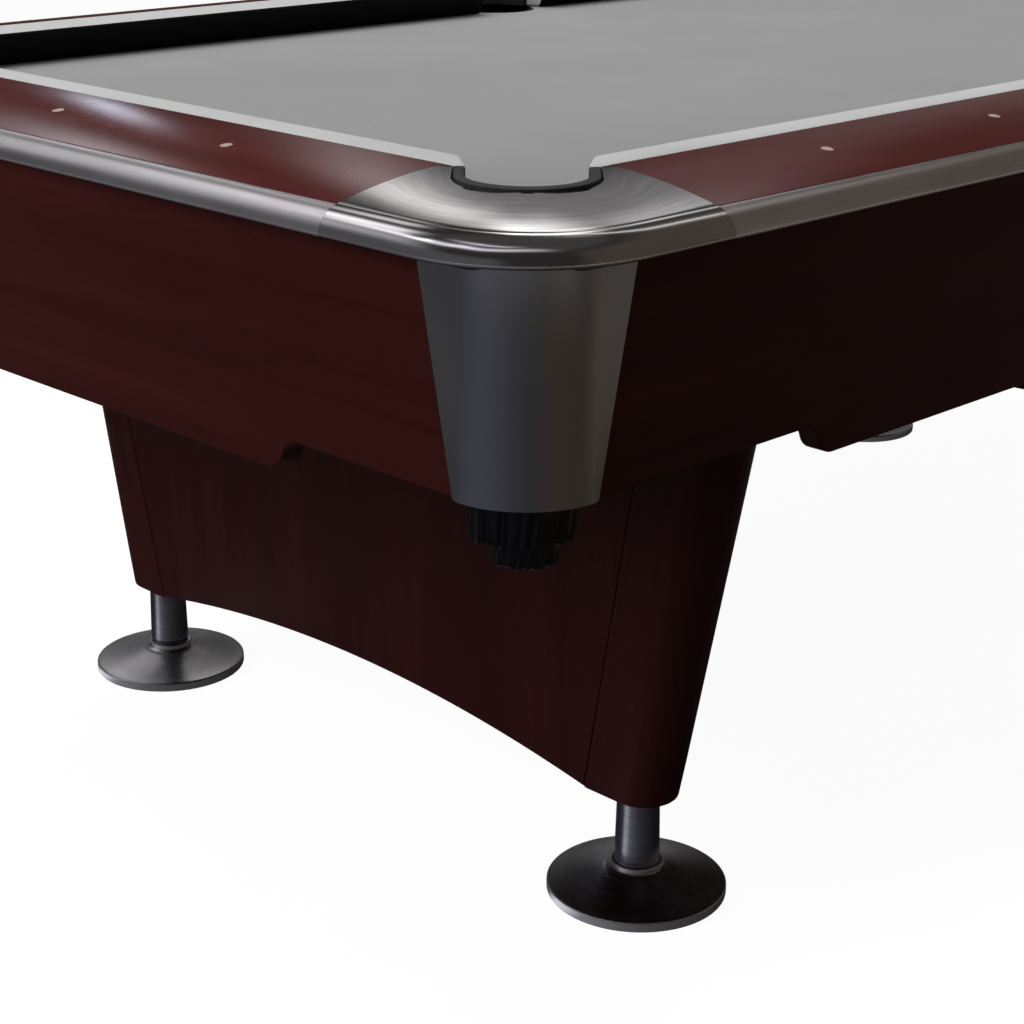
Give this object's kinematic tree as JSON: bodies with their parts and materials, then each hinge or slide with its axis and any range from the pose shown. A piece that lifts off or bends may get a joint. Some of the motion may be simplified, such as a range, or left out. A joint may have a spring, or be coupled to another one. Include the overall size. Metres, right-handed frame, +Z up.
{
  "type": "billiard table",
  "caption": "Pool table with a cloth bed, metal corner castings, drop pockets, stepped wooden aprons and arched pedestals on screw levelling feet.",
  "frame": {"origin": "on the floor, under the middle of the table", "axes": "+X along the length, +Y across the width, +Z up"},
  "size_m": [2.3392, 1.3486, 0.788],
  "materials": {
    "slate": "honed stone",
    "bed_cloth": "worsted cloth",
    "cushion_cloth": "worsted cloth",
    "pine": "sawn",
    "satin_trim": "brushed",
    "cast_metal": "brushed casting",
    "sight": "inlay",
    "liner_rubber": "matte",
    "zinc_steel": "zinc plated",
    "brass": "turned",
    "rail_mahogany": "glossy lacquer",
    "apron_mahogany": "satin lacquer",
    "dark_cover": "satin",
    "basket_leather": "black",
    "foot_steel": "turned, dark",
    "stem_steel": "brushed"
  },
  "bodies": {
    "table": {"slate": "slate", "bed_cloth": "bed_cloth", "frame_beams": "pine", "rail_trims": "satin_trim", "sights": "sight", "pocket_liners": "liner_rubber", "rail_bolts": "zinc_steel", "slate_screws": "zinc_steel", "frame_bolts": "zinc_steel", "apron_brackets": "zinc_steel", "cover_screws": "zinc_steel", "pedestal_top_boards": "pine", "leg_bushes": "brass", "inner_panels": "apron_mahogany", "long_rail_front_left": "rail_mahogany", "long_rail_front_right": "rail_mahogany", "long_rail_back_right": "rail_mahogany", "long_rail_back_left": "rail_mahogany", "long_cushion_front_left": "cushion_cloth", "long_cushion_front_right": "cushion_cloth", "long_cushion_back_right": "cushion_cloth", "long_cushion_back_left": "cushion_cloth", "corner_casting_front_left": "cast_metal", "corner_casting_front_right": "cast_metal", "corner_casting_back_right": "cast_metal", "corner_casting_back_left": "cast_metal", "corner_cover_front_left": "dark_cover", "corner_cover_front_right": "dark_cover", "corner_cover_back_right": "dark_cover", "corner_cover_back_left": "dark_cover", "corner_basket_front_left": "basket_leather", "corner_basket_front_right": "basket_leather", "corner_basket_back_right": "basket_leather", "corner_basket_back_left": "basket_leather", "leg_front_left": "apron_mahogany", "leg_front_right": "apron_mahogany", "leg_back_right": "apron_mahogany", "leg_back_left": "apron_mahogany", "end_rail_left": "rail_mahogany", "end_rail_right": "rail_mahogany", "end_cushion_left": "cushion_cloth", "end_cushion_right": "cushion_cloth", "end_apron_left": "apron_mahogany", "end_apron_right": "apron_mahogany", "outer_panel_left": "apron_mahogany", "outer_panel_right": "apron_mahogany", "side_casting_front": "cast_metal", "side_casting_back": "cast_metal", "side_basket_front": "basket_leather", "side_basket_back": "basket_leather", "long_apron_front": "apron_mahogany", "long_apron_back": "apron_mahogany"},
    "disc_front_left": {"foot_disc_front_left": "foot_steel"},
    "stem_front_left": {"foot_stem_front_left": "stem_steel"},
    "disc_front_right": {"foot_disc_front_right": "foot_steel"},
    "stem_front_right": {"foot_stem_front_right": "stem_steel"},
    "disc_back_right": {"foot_disc_back_right": "foot_steel"},
    "stem_back_right": {"foot_stem_back_right": "stem_steel"},
    "disc_back_left": {"foot_disc_back_left": "foot_steel"},
    "stem_back_left": {"foot_stem_back_left": "stem_steel"}
  },
  "joints": [
    {"name": "level_front_left", "type": "slide", "parent": "table", "child": "disc_front_left", "axis": [0, 0, 1], "range_m": [0, 0.02]},
    {"name": "screw_front_left", "type": "hinge", "parent": "disc_front_left", "child": "stem_front_left", "pos_m": [-0.7246, -0.3963, 0.034], "axis": [0, 0, 1], "range_deg": [0, 2880]},
    {"name": "level_front_right", "type": "slide", "parent": "table", "child": "disc_front_right", "axis": [0, 0, 1], "range_m": [0, 0.02]},
    {"name": "screw_front_right", "type": "hinge", "parent": "disc_front_right", "child": "stem_front_right", "pos_m": [0.7246, -0.3963, 0.034], "axis": [0, 0, 1], "range_deg": [0, 2880]},
    {"name": "level_back_right", "type": "slide", "parent": "table", "child": "disc_back_right", "axis": [0, 0, 1], "range_m": [0, 0.02]},
    {"name": "screw_back_right", "type": "hinge", "parent": "disc_back_right", "child": "stem_back_right", "pos_m": [0.7246, 0.3963, 0.034], "axis": [0, 0, 1], "range_deg": [0, 2880]},
    {"name": "level_back_left", "type": "slide", "parent": "table", "child": "disc_back_left", "axis": [0, 0, 1], "range_m": [0, 0.02]},
    {"name": "screw_back_left", "type": "hinge", "parent": "disc_back_left", "child": "stem_back_left", "pos_m": [-0.7246, 0.3963, 0.034], "axis": [0, 0, 1], "range_deg": [0, 2880]}
  ],
  "couplings": [
    {"joint": "screw_front_left", "follows": "level_front_left", "rad_per_m": 2513.3},
    {"joint": "screw_front_right", "follows": "level_front_right", "rad_per_m": 2513.3},
    {"joint": "screw_back_right", "follows": "level_back_right", "rad_per_m": 2513.3},
    {"joint": "screw_back_left", "follows": "level_back_left", "rad_per_m": 2513.3}
  ]
}
